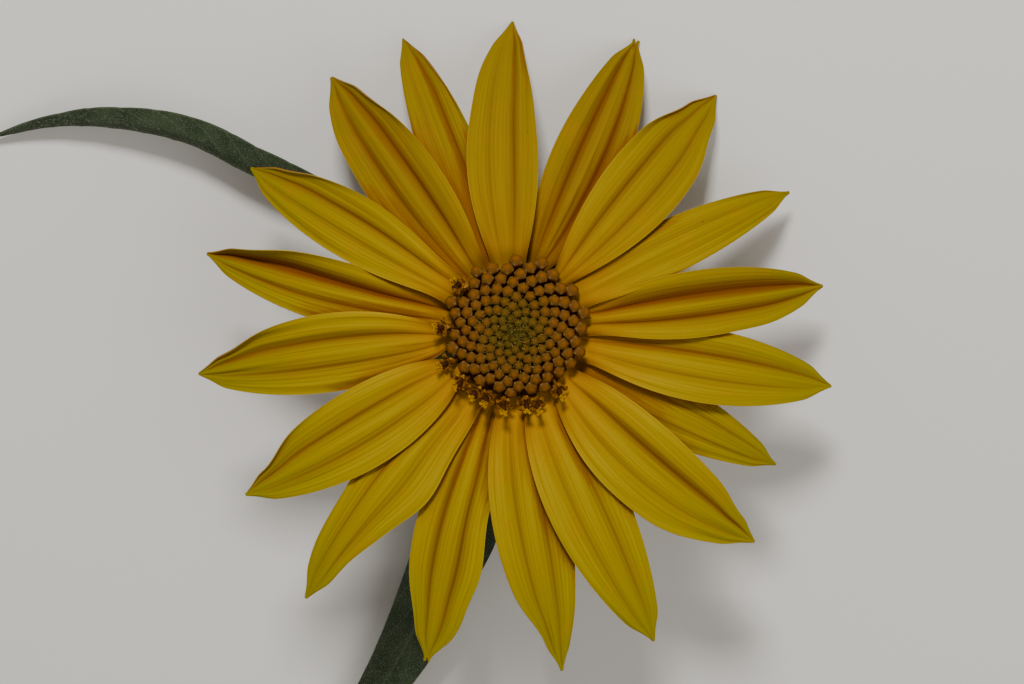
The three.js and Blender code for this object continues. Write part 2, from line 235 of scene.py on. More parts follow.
# A row for each petal, clockwise from the top: the clock angles of its base and tip, the reach of
# the tip, the greatest width and its place, the height over the seat, roll, droop and bow, and how
# much it lies in shade. Then for the anticlockwise and the clockwise half: the depth of the long
# fold, how far the half is bent up beyond it, how far its margin curls up towards the tip. Notches
# are (side, place, depth, spread) dents in a margin.
PETAL_MEASURES = ("base", "tip", "reach", "width", "full", "lift", "roll", "droop", "bow", "shade",
                  "folds", "bends", "curls")
PETAL_TABLE = (
    ((-5, -0.4, 43.0, 9.3, 0.44, 1.5, 2, 10, -1.3, 0.8, (0.12, 0.3), (0, 16), (5, 85)),
     {"notches": ((-1, 0.8, -0.4, 0.12), (1, 0.85, 0.3, 0.1), (1, 0.4, -0.4, 0.25))}),
    ((17.5, 22.6, 43.7, 9.8, 0.48, -0.8, -2, 6.5, 0.8, 0.85, (0.6, 0.6), (16, 8), (10, 25)),
     {"base_half": 1.3, "cleft": 1.0, "blunt": 0.5, "notches": ((-1, 0.5, -0.4, 0.25),)}),
    ((40, 40.3, 43, 10.6, 0.55, 1.9, 4, 10.3, 0.3, 0.6, (0.35, 0.3), (6, 0), (95, 10)),
     {"base_half": 1.3, "notches": ((-1, 0.86, 0.8, 0.09), (1, 0.85, 0.7, 0.1))}),
    ((56.5, 62.8, 42.5, 7.4, 0.44, 1.35, 8, 9, -0.3, 0.4, (0.12, 0.1), (0, 0), (60, 5)), {}),
    ((78.5, 81.3, 42.8, 8.9, 0.5, 1, 9, 7.5, 0.15, 0.4, (0.85, 0.6), (34, 4), (12, 5)),
     {"notches": ((1, 0.78, -0.4, 0.12),)}),
    ((99.5, 99.5, 44, 10.1, 0.49, 0.6, 9, 6.2, 0.1, 0.12, (0.45, 0.25), (12, 0), (15, 5)), {}),
    ((117, 116.7, 40.1, 9, 0.36, -0.5, -1, 6, 0, 0.15, (0.2, 0.2), (4, 0), (10, 5)), {}),
    ((135, 131, 43.3, 11.4, 0.45, 1.7, 4, 5, 1.6, 0.05, (0.5, 0.2), (10, 0), (20, 5)),
     {"notches": ((-1, 0.87, 0.6, 0.08), (1, 0.7, -0.5, 0.15))}),
    ((158, 155.6, 46, 11, 0.42, 1.1, 9, 4.5, 0.4, 0, (0.25, 0.2), (4, 0), (5, 10)), {}),
    ((179, 172, 46.5, 10.8, 0.41, 0.4, 9, 4.5, 0.6, 0, (0.25, 0.25), (2, 2), (10, 10)),
     {"notches": ((1, 0.86, 1.1, 0.1), (-1, 0.9, 0.3, 0.07))}),
    ((199.5, 195, 46.4, 10.2, 0.52, -0.4, -4, 4.5, 0.9, 0, (0.45, 0.4), (3, 3), (15, 10)),
     {"cleft": 0.8, "blunt": 0.45,
      "notches": ((-1, 0.86, -0.4, 0.08), (-1, 0.44, 0.7, 0.13), (-1, 0.66, -0.35, 0.09),
                  (1, 0.84, 0.5, 0.1))}),
    ((219.5, 218.2, 46, 9, 0.36, 0.5, -3, 4.5, 1, 0, (0.2, 0.25), (0, 4), (5, 15)),
     {"notches": ((-1, 0.8, 0.5, 0.1), (-1, 0.45, -1.5, 0.15), (1, 0.82, -0.5, 0.14))}),
    ((238.5, 239, 42.7, 10.9, 0.46, 1.7, 0, 5, -0.4, 0, (0.3, 0.4), (0, 6), (5, 85)),
     {"base_half": 1.2, "notches": ((1, 0.86, 1.1, 0.1),)}),
    ((265, 262.6, 43.5, 10.8, 0.48, 1, 7.5, 5.6, 0.4, 0.05, (0.35, 0.45), (0, 8), (5, 95)),
     {"base_half": 1.2, "notches": ((1, 0.86, 0.7, 0.09),)}),
    ((285, 284.5, 43.6, 8.4, 0.47, 0.1, -4, 6.4, -0.8, 0.25, (0.35, 0.9), (2, 66), (5, 30)),
     {"bent_by": 0.85, "notches": ((1, 0.82, 0.5, 0.12), (1, 0.1, -0.5, 0.12))}),
    ((306.5, 302, 42.5, 8.6, 0.53, 1.6, 5, 6.6, 0.1, 0.3, (0.15, 0.45), (0, 14), (5, 95)),
     {"notches": ((1, 0.86, 0.4, 0.08), (1, 0.5, -0.3, 0.2))}),
    ((324, 324.4, 43.2, 10.4, 0.48, 1, 8, 7.6, -0.3, 0.8, (0.45, 0.55), (2, 16), (5, 85)),
     {"notches": ((1, 0.84, 0.4, 0.09), (-1, 0.8, -0.4, 0.12))}),
    ((339.5, 339.2, 43.5, 8, 0.42, -0.15, -3, 9, 0.35, 0.7, (0.15, 0.35), (0, 18), (5, 105)), {}),
)
PETALS = [dict(zip(PETAL_MEASURES, measures), **others) for measures, others in PETAL_TABLE]


def smooth(share):
    share = min(max(share, 0.0), 1.0)
    return share * share * (3 - 2 * share)


def between(first, second, share):
    return first + (second - first) * share


def on_clock(radius, clock, height=0.0):
    """A point of the head, by its distance from the axis and its place on a clock face."""
    angle = math.radians(clock)
    return Vector((radius * math.sin(angle), radius * math.cos(angle), height))


def lance(share, fullest, fullness):
    """The outline of a lance-shaped blade: 0 at both ends and 1 at its fullest place."""
    return max(0.0, math.sin(math.pi * share ** (math.log(0.5) / math.log(fullest)))) ** fullness


def hump(distance, spread):
    return math.exp(-((distance / spread) ** 2))


def crease(distance, spread):
    """A narrow valley with a barely rounded floor: 1 at its middle line."""
    return math.exp(FOLD_FLOOR - math.hypot(distance / spread, FOLD_FLOOR))


def wander(pace, along, across, number):
    """A slow random swing over a blade, at a pace for its length, its width and its number."""
    return noise.noise(Vector((along * pace[0], across * pace[1], number * pace[2])))


def petal_half(petal, along, side):
    """Half of the petal's width in mm, with the dents of that side's margin."""
    half = max(petal["width"] / 2 * lance(along, petal["full"], PETAL_FULLNESS), PETAL_TIP_HALF)
    half *= 1 - PETAL_POINT * smooth((along - PETAL_POINT_FROM) / (1 - PETAL_POINT_FROM))
    for dent_side, place, depth, spread in petal.get("notches", ()):
        if dent_side == side:
            half -= depth * hump(along - place, spread)
    base = petal.get("base_half", PETAL_BASE_HALF) * (1 - smooth(along / PETAL_BASE_FADE))
    return max((half ** 4 + base ** 4) ** 0.25, petal.get("blunt", PETAL_TIP_HALF))


def petal_section(petal, along):
    """The blade's cross-section at one place: for each column its share of the half width sideways
    and upwards, how deep it lies in a fold, and how near the fold's bottom line."""
    middle = PETAL_COLUMNS // 2
    section = [None] * (PETAL_COLUMNS + 1)
    section[middle] = (0.0, 0.0, 0.0, 0.0)
    deep = math.sin(math.pi * min(max(along, 0), 1)) ** 0.5
    for side, half_index in ((-1, 0), (1, 1)):
        depth = petal["folds"][half_index]
        bend = math.radians(petal["bends"][half_index]) * smooth(along / petal.get("bent_by", PETAL_BENT_BY))
        curl = math.radians(petal["curls"][half_index])
        curl *= smooth((along - CURL_STARTS) / (CURL_ENDS - CURL_STARTS))
        wide, high, outline = 0.0, 0.0, []
        for step in range(1, middle + 1):
            out = (step - 0.5) / middle
            angle = bend * smooth((out - FOLD_FROM) / (FOLD_TO - FOLD_FROM))
            angle += curl * smooth((out - CURL_FROM) / (1 - CURL_FROM))
            wide += math.cos(angle) / middle
            high += math.sin(angle) / middle
            outline.append((wide, high))
        wide = max(w for w, _ in outline)
        for step, (w, h) in enumerate(outline, 1):
            from_fold = step / middle - FOLD_PLACE
            fold = deep * crease(from_fold, FOLD_WIDTH) * depth
            line = deep * hump(from_fold, FOLD_LINE_WIDTH) * min(1, FOLD_LINE_GAIN * depth)
            section[middle + side * step] = (side * w / wide, h / wide, fold * FOLD_DEPTH, line)
    return section


def petal_point(petal, number, along, across, section_row):
    """A point of the petal's middle surface in the head's frame, in mm."""
    start = on_clock(PETAL_SEAT_RADIUS, petal["base"])
    chord = on_clock(petal["reach"], petal["tip"]) - start
    clockwise = Vector((chord.y, -chord.x, 0)).normalized()
    half = petal_half(petal, along, 1 if across > 0 else -1)
    wide, high, fold, _ = section_row
    bulge = math.sin(math.pi * along)
    rise = smooth(along / PETAL_SHOULDER)
    roll = math.radians(petal["roll"]) * rise
    out = half * wide
    up = half * high - fold - PETAL_ARCH * across * across * bulge
    up += PETAL_VEIN_HEIGHT * math.cos(2 * math.pi * PETAL_VEINS * (across + 1) / 2) * bulge
    up += PETAL_RIPPLE * wander(PETAL_RIPPLE_PACE, along, across, number) * smooth(along / PETAL_RIPPLE_FADE)
    rib = PETAL_RIB * wander(PETAL_RIB_PACE, along, across, number)
    up += rib * smooth(along / PETAL_RIB_FADES[0]) * smooth((1 - along) / PETAL_RIB_FADES[1])
    cleft = petal.get("cleft", 0) * hump(across, CLEFT_WIDTH) * smooth((along - CLEFT_FROM) / CLEFT_LENGTH)
    point = start + chord * (along - cleft / chord.length)
    point += clockwise * (out * math.cos(roll) - up * math.sin(roll) + petal["bow"] * bulge)
    point.z = petal["lift"] - PETAL_RISE * (1 - rise)
    point.z += out * math.sin(roll) + up * math.cos(roll) - petal["droop"] * along ** PETAL_DROOP_POWER
    return point


def under_petal_shade_share(tree, vertex):
    """How much of the sky over a petal's point is taken by petals that lie close above it: the share of
    painted shade there.
    """
    across = vertex.normal.orthogonal().normalized()
    along = vertex.normal.cross(across)
    start = vertex.co + vertex.normal * COVER_START
    hits = 0
    for ray in range(COVER_RAYS):
        lean = COVER_LEAN * math.sqrt((ray + 0.5) / COVER_RAYS)
        turn = ray * GOLDEN_ANGLE
        sideways = across * math.cos(turn) + along * math.sin(turn)
        way = vertex.normal * math.cos(lean) + sideways * math.sin(lean)
        hits += tree.ray_cast(start, way, COVER_REACH)[0] is not None
    return hits / COVER_RAYS


def blade_grid(columns, rows):
    """A flat square of faces, one unit wide and long, with a UV map."""
    deselect()
    bpy.ops.mesh.primitive_grid_add(x_subdivisions=columns, y_subdivisions=rows, size=1, calc_uvs=True)
    return bpy.context.object


def pick(*pieces):
    """Selects these pieces alone, with the first as the active one."""
    deselect()
    for piece in pieces:
        piece.select_set(True)
    bpy.context.view_layer.objects.active = pieces[0]


def shaded_smooth(piece, degrees):
    """Shades a piece smooth, with sharp edges where its faces turn by more than the angle."""
    pick(piece)
    bpy.ops.object.shade_smooth_by_angle(angle=math.radians(degrees))


def thicken(piece, thickness, **settings):
    """Gives a surface its wall, half of it to each side."""
    wall = piece.modifiers.new("wall", "SOLIDIFY")
    wall.thickness = thickness
    wall.offset = 0
    for name, value in settings.items():
        setattr(wall, name, value)
    pick(piece)
    bpy.ops.object.modifier_apply(modifier=wall.name)


def keep_value(piece, name, values):
    """Keeps a value for each of the piece's vertices, for its material to read."""
    piece.data.attributes.new(name, "FLOAT", "POINT").data.foreach_set("value", values)


def new_pattern(name, inputs, outputs):
    """A node group: its wiring, and what its inputs give and its outputs take."""
    group = bpy.data.node_groups.new(name, "ShaderNodeTree")
    for sockets, way in ((inputs, "INPUT"), (outputs, "OUTPUT")):
        for socket, kind in sockets.items():
            group.interface.new_socket(socket, in_out=way, socket_type="NodeSocket" + kind)
    given = group.nodes.new("NodeGroupInput").outputs
    return Wiring(group), given, group.nodes.new("NodeGroupOutput").inputs


def stretched(wiring, source, scales):
    return wiring.node("VectorMath", 0, {0: source, 1: scales}, operation="MULTIPLY")


# The fine lines that run the length of a blade, from its UV map: dark lines between the veins,
# which break off here and there, and longer streaks.
veining, given, result = new_pattern("blade_lines", {"UV": "Vector", "Veins": "Float"},
                                     {"Lines": "Float", "Streaks": "Float"})
sway = veining.noise(1.0, 1.0, stretched(veining, given["UV"], (5.0, 2.0, 1.0)))
turns = veining.times(veining.axis(given["UV"], "X"), given["Veins"])
turns = veining.maths("ADD", turns, veining.times(sway, 0.7))
wave = veining.maths("COSINE", veining.times(turns, 2 * math.pi))
lines = veining.maths("POWER", veining.maths("ADD", veining.times(wave, 0.5), 0.5), 4.0)
streaks = veining.noise(1.0, 3.0, stretched(veining, given["UV"], (70.0, 2.2, 1.0)))
veining.join(streaks, result["Streaks"])
veining.join(veining.times(lines, veining.ramp(streaks, 0.62, 0.4)), result["Lines"])

# Tones for painted shade along the bottoms of the folds, for brown specks and for pale margins.
FOLD_LINE_SHADE_TONE = (0.10, 0.034, 0.0002)
# Painted shade, red brown, under the petals that lie close above.
UNDER_PETAL_SHADE_TONE = (0.21, 0.055, 0.0002)
SPECK_TONE = (0.12, 0.045, 0.002)
MARGIN_TONE = (0.42, 0.30, 0.05)


def petal_skin(name, deep, bright, base_tone, tip_tone_and_shade, vein_and_fold_shade_tone, shade_tone, bump):
    """The petal's skin: satin yellow with fine veins, more orange at its base. Shade is painted in its folds
    and along their bottoms, where the petals' feet crowd together, under the petals above, on the petals set
    to lie in shade, and in part towards its tip.
    """
    skin = Skin(name, Roughness=0.68, Specular_IOR_Level=0.08)
    uv = skin.place("UV")
    lines = skin.node("Group", "Lines", {"UV": uv, "Veins": PETAL_VEINS}, node_tree=veining.tree)
    streaks = lines.node.outputs["Streaks"]
    along = skin.axis(uv, "Y")
    edge = skin.maths("ABSOLUTE", skin.maths("SUBTRACT", skin.axis(uv, "X"), 0.5))
    colour = skin.mix(skin.ramp(streaks, 0.35, 0.68), deep, bright)
    colour = skin.tint(colour, lines, 0.30, vein_and_fold_shade_tone)
    # Darker and more olive towards the tip: partly its own colour, partly painted shade.
    colour = skin.tint(colour, skin.ramp(along, 0.3, 0.95), 0.75, tip_tone_and_shade)
    colour = skin.tint(colour, skin.ramp(along, 0.42, 0.0), 0.8, base_tone)
    colour = skin.tint(colour, skin.attribute("shade"), 0.7, shade_tone)
    colour = skin.tint(colour, skin.ramp(skin.noise(260.0, 3.0), 0.5, 0.72), 0.16, base_tone)
    # Painted shade: each fold is darkened by how deep it lies.
    painted_fold_shade = skin.maths("MINIMUM", skin.times(skin.attribute("crease"), 1.3), 0.85)
    colour = skin.mix(painted_fold_shade, colour, vein_and_fold_shade_tone)
    # Painted shade: a thin dark line along the bottom of each fold.
    colour = skin.tint(colour, skin.attribute("fold_line_shade"), 0.6, FOLD_LINE_SHADE_TONE)
    # Painted shade where the feet of the petals crowd together at the disc: the margins darker near the base.
    foot = skin.times(skin.ramp(edge, 0.26, 0.5), skin.ramp(along, 0.26, 0.04))
    colour = skin.tint(colour, foot, 0.8, vein_and_fold_shade_tone)
    # Painted shade, red brown, where other petals lie close above.
    colour = skin.tint(colour, skin.ramp(skin.attribute("under_petal_shade"), 0.04, 0.55), 0.75, UNDER_PETAL_SHADE_TONE)
    specks = skin.cells(420.0)
    lottery = skin.axis(specks.node.outputs["Color"], "X")
    speck = skin.times(skin.ramp(specks, 0.075, 0.045), skin.ramp(lottery, 0.80, 0.84))
    colour = skin.tint(colour, speck, 0.55, SPECK_TONE)
    skin.paint(skin.tint(colour, skin.ramp(edge, 0.490, 0.498), 0.45, MARGIN_TONE))
    height = skin.maths("ADD", streaks, skin.times(skin.noise(5200.0, 1.0), 0.25))
    skin.emboss(skin.maths("SUBTRACT", height, skin.times(lines, 0.3)), bump, 0.00012)
    return skin.material


petal_face = petal_skin("petal_yellow", (0.355, 0.232, 0.0003), (0.42, 0.305, 0.0004), (0.45, 0.178, 0.0002),
                        (0.225, 0.196, 0.0006), (0.15, 0.046, 0.0002), (0.20, 0.112, 0.0003), 0.5)
petal_back = petal_skin("petal_underside", (0.30, 0.17, 0.003), (0.37, 0.24, 0.005), (0.24, 0.18, 0.010),
                        (0.34, 0.22, 0.003), (0.20, 0.10, 0.002), (0.26, 0.15, 0.002), 0.7)

petals = []
for number, petal in enumerate(PETALS, 1):
    piece = blade_grid(PETAL_COLUMNS, PETAL_ROWS)
    piece.name = piece.data.name = f"petal_{number:02d}"
    body = piece.vertex_groups.new(name="body")
    fold_shade_depths, fold_line_shades = [], []
    for row in range(PETAL_ROWS + 1):
        share = row / PETAL_ROWS
        along = (share + (1 - math.cos(math.pi * share)) / 2) / 2
        section = petal_section(petal, along)
        for column in range(PETAL_COLUMNS + 1):
            index = row * (PETAL_COLUMNS + 1) + column
            across = 2 * column / PETAL_COLUMNS - 1
            point = petal_point(petal, number, along, across, section[column])
            piece.data.vertices[index].co = HEAD @ (point * MM)
            fold_shade_depths.append(section[column][2])
            fold_line_shades.append(section[column][3])
            thinner = smooth((abs(across) - PETAL_MARGIN_FROM) / PETAL_MARGIN_WIDTH)
            body.add([index], between(1, PETAL_MARGIN_SHARE, thinner), "REPLACE")
    # The fold depths, for the shade that the skin paints in the folds.
    keep_value(piece, "crease", fold_shade_depths)
    keep_value(piece, "fold_line_shade", fold_line_shades)
    keep_value(piece, "shade", [petal["shade"]] * len(fold_shade_depths))
    petals.append(piece)

corners, faces = [], []
for piece in petals:
    faces += [[len(corners) + index for index in face.vertices] for face in piece.data.polygons]
    corners += [vertex.co.copy() for vertex in piece.data.vertices]
petal_tree = BVHTree.FromPolygons(corners, faces)
for number, piece in enumerate(petals, 1):
    # How much painted shade each point gets from the petals above it.
    keep_value(piece, "under_petal_shade", [under_petal_shade_share(petal_tree, vertex) for vertex in piece.data.vertices])
    thicken(piece, PETAL_THICKNESS * MM, vertex_group="body", material_offset=1)
    shaded_smooth(piece, 70)
    piece.data.materials.append(petal_face)
    piece.data.materials.append(petal_back)
    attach(piece, "root")
    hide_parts(f"ray_{number:02d}")


# The disc: a low dome packed with tiny florets in a golden-angle spiral. Nearly all are closed
# buds, blunt five-sided caps with pale corners, orange brown at the rim and small and olive inside.

DOME_PROFILE = ((7.6, -1.9), (8.5, -1.3), (8.5, 0.7), (6.9, 1.9), (3.9, 3.2), (1.4, 3.8), (0.3, 3.9))
DOME_SIDES = 48
FLORET_COUNT = 156
FLORET_SIDES = 5
FLORET_SPREAD = 8.0
FLORET_ROOT = (2.7, 1.0)
FLORET_ROOM = 0.95
SPIRAL_POWER = 0.6
RIM_STRETCH = 0.1
STRETCH_CLOCK = 12
DOME_POWER = 2.2
RIM_LEAN = math.radians(34)
BUD_RADIUS = (0.55, 0.92)
BUD_LENGTH = (1.9, 2.9)
BUD_OVAL = (0.92, 1.05)
BUD_SIDES = 15
BUD_FLAT = 0.885
BUD_PROFILE = ((0.5, 0.0), (0.7, 0.4), (0.94, 0.7), (1.0, 0.79), (0.94, 0.87), (0.72, 0.945), (0.4, 0.985),
               (0.12, 1.0))
BUD_JITTER = 0.06
BUD_TURN_JITTER = 0.3
RIPE_JITTER = 0.08
# The clock place of each open floret, and how much further out than the buds it leans.
OPEN_PLACES = ((141, 1.2), (162.5, 1.35), (171.5, 1.1), (190.5, 1.2), (202, 1.0), (214.5, 1.0), (227, 1.2),
               (245.5, 1.35), (276, 1.15), (312.5, 1.2))

chance = random.Random(11)


def stray(reach):
    """A random number that lies no further from 0 than the reach."""
    return chance.uniform(-reach, reach)


def stray_point(reach):
    return Vector([stray(reach) for _ in range(3)])


def turned(profile, sides):
    """A closed round form drawn up from its foot: each ring is a radius and a height."""
    (radius, height), *rings = profile
    foot = (0, 0, height)
    deselect()
    bpy.ops.mesh.primitive_circle_add(vertices=sides, radius=radius, fill_type="NGON", location=foot)
    piece = bpy.context.object
    bpy.ops.object.transform_apply(location=True, rotation=True, scale=True)
    bpy.ops.object.mode_set(mode="EDIT")
    bpy.ops.mesh.select_all(action="SELECT")
    for next_radius, next_height in rings:
        bpy.ops.mesh.extrude_region_move(TRANSFORM_OT_translate={"value": (0, 0, next_height - height)})
        grow = next_radius / radius
        bpy.ops.transform.resize(value=(grow, grow, 1), center_override=(0, 0, next_height))
        radius, height = next_radius, next_height
    bpy.ops.mesh.select_all(action="SELECT")
    bpy.ops.mesh.normals_make_consistent(inside=False)
    bpy.ops.object.mode_set(mode="OBJECT")
    return piece


def pinched(piece, sides, every, share):
    """Draws the piece's sides in, all but each one that starts a group, which stays a corner."""
    for vertex in piece.data.vertices:
        if round(math.atan2(vertex.co.y, vertex.co.x) * sides / (2 * math.pi)) % every:
            vertex.co.x *= share
            vertex.co.y *= share


def copy_of(model, matrix):
    """A copy of the model with its own mesh, set down by the matrix."""
    piece = model.copy()
    piece.data = model.data.copy()
    piece.data.transform(matrix)
    bpy.context.collection.objects.link(piece)
    return piece


def joined(name, pieces):
    """Joins the pieces into the first one."""
    pick(*pieces)
    bpy.ops.object.join()
    pieces[0].name = pieces[0].data.name = name
    return pieces[0]


def map_from_above(piece):
    """Gives every corner of the piece the UV place that it has when seen from above."""
    layer = piece.data.uv_layers.active
    for loop in piece.data.loops:
        layer.data[loop.index].uv = piece.data.vertices[loop.vertex_index].co.xy


def seat(radius, angle, spin):
    """Where a floret stands on the dome: upright in the middle and leaning out at the rim."""
    share = radius / FLORET_SPREAD
    height = between(*FLORET_ROOT, share ** DOME_POWER)
    return (
        HEAD
        @ Matrix.Scale(MM, 4)
        @ Matrix.Rotation(-angle, 4, "Z")
        @ Matrix.Translation((0, radius, height))
        @ Matrix.Rotation(-RIM_LEAN * share * share, 4, "X")
        @ Matrix.Rotation(spin, 4, "Z")
    )


dome = turned(DOME_PROFILE, DOME_SIDES)
dome.name = "disc_dome"
keep_value(dome, "height", [vertex.co.z for vertex in dome.data.vertices])
dome.data.transform(HEAD @ Matrix.Scale(MM, 4))
skin = Skin("disc_floor", Roughness=0.9, Specular_IOR_Level=0.05)
cells = skin.cells(1500.0)
height = skin.attribute("height")
between_buds = skin.mix(cells, (0.110, 0.022, 0.001), (0.150, 0.038, 0.001))
in_middle = skin.mix(cells, (0.085, 0.060, 0.006), (0.150, 0.115, 0.016))
below_rim = skin.mix(cells, (0.08, 0.095, 0.018), (0.15, 0.155, 0.040))
colour = skin.mix(skin.ramp(height, 2.6, 3.5), between_buds, in_middle)
skin.paint(skin.mix(skin.ramp(height, 0.9, 0.4), colour, below_rim))
skin.emboss(cells, 0.6, 0.0003)
dome.data.materials.append(skin.material)
shaded_smooth(dome, 50)
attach(dome, "root")
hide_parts("disc")

bud = turned(BUD_PROFILE, BUD_SIDES)
pinched(bud, BUD_SIDES, BUD_SIDES // FLORET_SIDES, BUD_FLAT)
buds, ripeness, heights = [], [], []
open_places = [on_clock(FLORET_SPREAD, clock) for clock, _ in OPEN_PLACES]
for n in range(1, FLORET_COUNT + 1):
    share = (n / FLORET_COUNT) ** SPIRAL_POWER
    angle = n * GOLDEN_ANGLE
    stretch = 1 + RIM_STRETCH * share * max(0.0, math.cos(angle - math.radians(STRETCH_CLOCK)))
    distance = share * stretch * FLORET_SPREAD
    place = on_clock(distance, math.degrees(angle))
    if min((place - open_place).length for open_place in open_places) <= FLORET_ROOM:
        continue
    radius = between(*BUD_RADIUS, share) * stretch * (1 + stray(BUD_JITTER))
    length = between(*BUD_LENGTH, share) * (1 + stray(BUD_JITTER))
    size = Matrix.Diagonal((radius, radius * chance.uniform(*BUD_OVAL), length, 1))
    one = copy_of(bud, Matrix.Identity(4))
    map_from_above(one)
    ripeness += [share + stray(RIPE_JITTER)] * len(one.data.vertices)
    heights += [vertex.co.z for vertex in one.data.vertices]
    one.data.transform(seat(distance, angle, n + stray(BUD_TURN_JITTER)) @ size)
    buds.append(one)
bpy.data.objects.remove(bud)
closed_buds = joined("closed_buds", buds)
keep_value(closed_buds, "ripeness", ripeness)
keep_value(closed_buds, "height", heights)
skin = Skin("bud_skin", Roughness=0.7, Specular_IOR_Level=0.06)
uv = skin.place("UV")
ripe = skin.ramp(skin.attribute("ripeness"), 0.12, 0.7)
out = skin.node("VectorMath", "Value", {0: uv}, operation="LENGTH")
turn = skin.maths("ARCTAN2", skin.axis(uv, "Y"), skin.axis(uv, "X"))
corner = skin.maths("COSINE", skin.times(turn, FLORET_SIDES))
grain = skin.noise(3500.0)
# The middle of each cap is brighter and more orange: a painted highlight.
middle = skin.mix(ripe, (0.118, 0.071, 0.003), (0.205, 0.071, 0.002))
crown = skin.mix(ripe, (0.100, 0.066, 0.006), (0.132, 0.056, 0.006))
brim = skin.mix(ripe, (0.165, 0.120, 0.026), (0.28, 0.160, 0.056))
seam_and_shade_tone = skin.mix(ripe, (0.095, 0.056, 0.003), (0.135, 0.024, 0.003))
colour = skin.mix(skin.ramp(out, 0.2, 0.5), middle, crown)
suture = skin.times(skin.ramp(corner, -0.75, -1.0), skin.ramp(out, 0.85, 0.3))
colour = skin.tint(colour, suture, 0.45, seam_and_shade_tone)
edge = skin.times(skin.ramp(out, 0.77, 0.95), skin.maths("ADD", skin.times(corner, 0.3), 0.45))
colour = skin.mix(edge, colour, brim)
# Painted shade: each bud darker low down on its sides, between the buds.
colour = skin.mix(skin.ramp(skin.attribute("height"), 0.85, 0.62), colour, seam_and_shade_tone)
skin.paint(skin.tint(colour, skin.ramp(grain, 0.5, 0.75), 0.26, brim))
skin.emboss(skin.maths("SUBTRACT", skin.times(grain, 0.5), suture), 0.5, 0.0001)
closed_buds.data.materials.append(skin.material)
shaded_smooth(closed_buds, 42)
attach(closed_buds, "root")
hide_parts("disc")


# The open florets: ten at the lower and left rim of the disc. Each is a tan tube whose five lobes
# have folded back, round a dark brown column of anthers, with a yellow forked style at the top.

TUBE_PROFILE = ((0.36, 0.0), (0.42, 0.9), (0.56, 1.7), (0.62, 2.3), (0.66, 2.5))
LOBE_LINE = ((0.52, 2.3), (0.78, 2.72), (1.0, 2.86), (1.2, 2.78), (1.32, 2.55))
LOBE_WIDTHS = (0.36, 0.4, 0.36, 0.24, 0.05)
LOBE_THICKNESS = 0.1
COLUMN_PROFILE = ((0.26, 2.3), (0.34, 2.6), (0.38, 3.2), (0.36, 3.6), (0.25, 3.8))
COLUMN_GROOVE = 0.84
STYLE_PROFILE = ((0.16, 3.7), (0.16, 4.1), (0.2, 4.3))
ARM_LINE = ((0.02, 4.2), (0.14, 4.45), (0.3, 4.6), (0.46, 4.55), (0.55, 4.35))
ARM_RADIUS = 0.17
ARM_SWELL = ARM_RADIUS * 1.15
ARM_TIP = 0.05
ARM_RADII = (ARM_RADIUS, ARM_SWELL, ARM_SWELL, ARM_RADIUS, ARM_TIP)
ARM_SIDES = 6
FLORET_TIP = 0.12
FORK_TURN = 0.6
POLLEN_COUNT = 26
POLLEN_SIZE = (0.08, 0.15)
POLLEN_SPREAD = (0.5, 0.3, 0.45)
POLLEN_HEIGHT = 4.25


def ribbon(line, widths, thickness):
    """A thin tapering strip: a grid bent along a line of (distance, height) points."""
    piece = blade_grid(2, len(line) - 1)
    for index, vertex in enumerate(piece.data.vertices):
        row, column = divmod(index, 3)
        distance, height = line[row]
        vertex.co = Vector(((column - 1) * widths[row], distance, height))
    thicken(piece, thickness)
    return piece


def lofted(rings):
    """A closed form drawn out from ring to ring of points."""
    sides = len(rings[0])
    deselect()
    bpy.ops.mesh.primitive_cylinder_add(vertices=sides, radius=1, depth=1)
    piece = bpy.context.object
    bpy.ops.object.mode_set(mode="EDIT")
    work = bmesh.from_edit_mesh(piece.data)
    bmesh.ops.delete(work, geom=work.verts[:], context="VERTS")
    rings = [[work.verts.new(point) for point in ring] for ring in rings]
    for ring, next_ring in zip(rings, rings[1:]):
        for side in range(sides):
            other = (side + 1) % sides
            work.faces.new((ring[side], ring[other], next_ring[other], next_ring[side]))
    work.faces.new(rings[0][::-1])
    work.faces.new(rings[-1])
    bmesh.update_edit_mesh(piece.data)
    bpy.ops.mesh.select_all(action="SELECT")
    bpy.ops.mesh.normals_make_consistent(inside=False)
    bpy.ops.object.mode_set(mode="OBJECT")
    return piece


def tapering_tube(points, radii, sides):
    """A closed round tube through the points."""
    rings = []
    for number, (point, radius) in enumerate(zip(points, radii)):
        ahead = points[min(number + 1, len(points) - 1)] - points[max(number - 1, 0)]
        turn = ahead.to_track_quat("Z", "Y")
        rings.append([
            point + turn @ Vector((radius * math.cos(a), radius * math.sin(a), 0))
            for a in (2 * math.pi * side / sides for side in range(sides))
        ])
    return lofted(rings)


tan = Skin("lobe_tan", Roughness=0.65, Specular_IOR_Level=0.15)
grain = tan.noise(2600.0, 3.0)
tan.paint(tan.mix(tan.ramp(grain, 0.35, 0.7), (0.10, 0.028, 0.002), (0.33, 0.145, 0.010)))
tan.emboss(grain, 0.4, 0.0001)
brown = Skin("anther_brown", Roughness=0.7, Specular_IOR_Level=0.1)
brown.paint(brown.mix(brown.noise(3000.0), (0.018, 0.005, 0.002), (0.085, 0.026, 0.006)))
yellow = Skin("style_yellow", Roughness=0.7, Specular_IOR_Level=0.05)
grain = yellow.cells(9000.0)
yellow.paint(yellow.mix(grain, (0.34, 0.15, 0.001), (0.48, 0.26, 0.002)))
yellow.emboss(grain, 0.7, 0.0001)

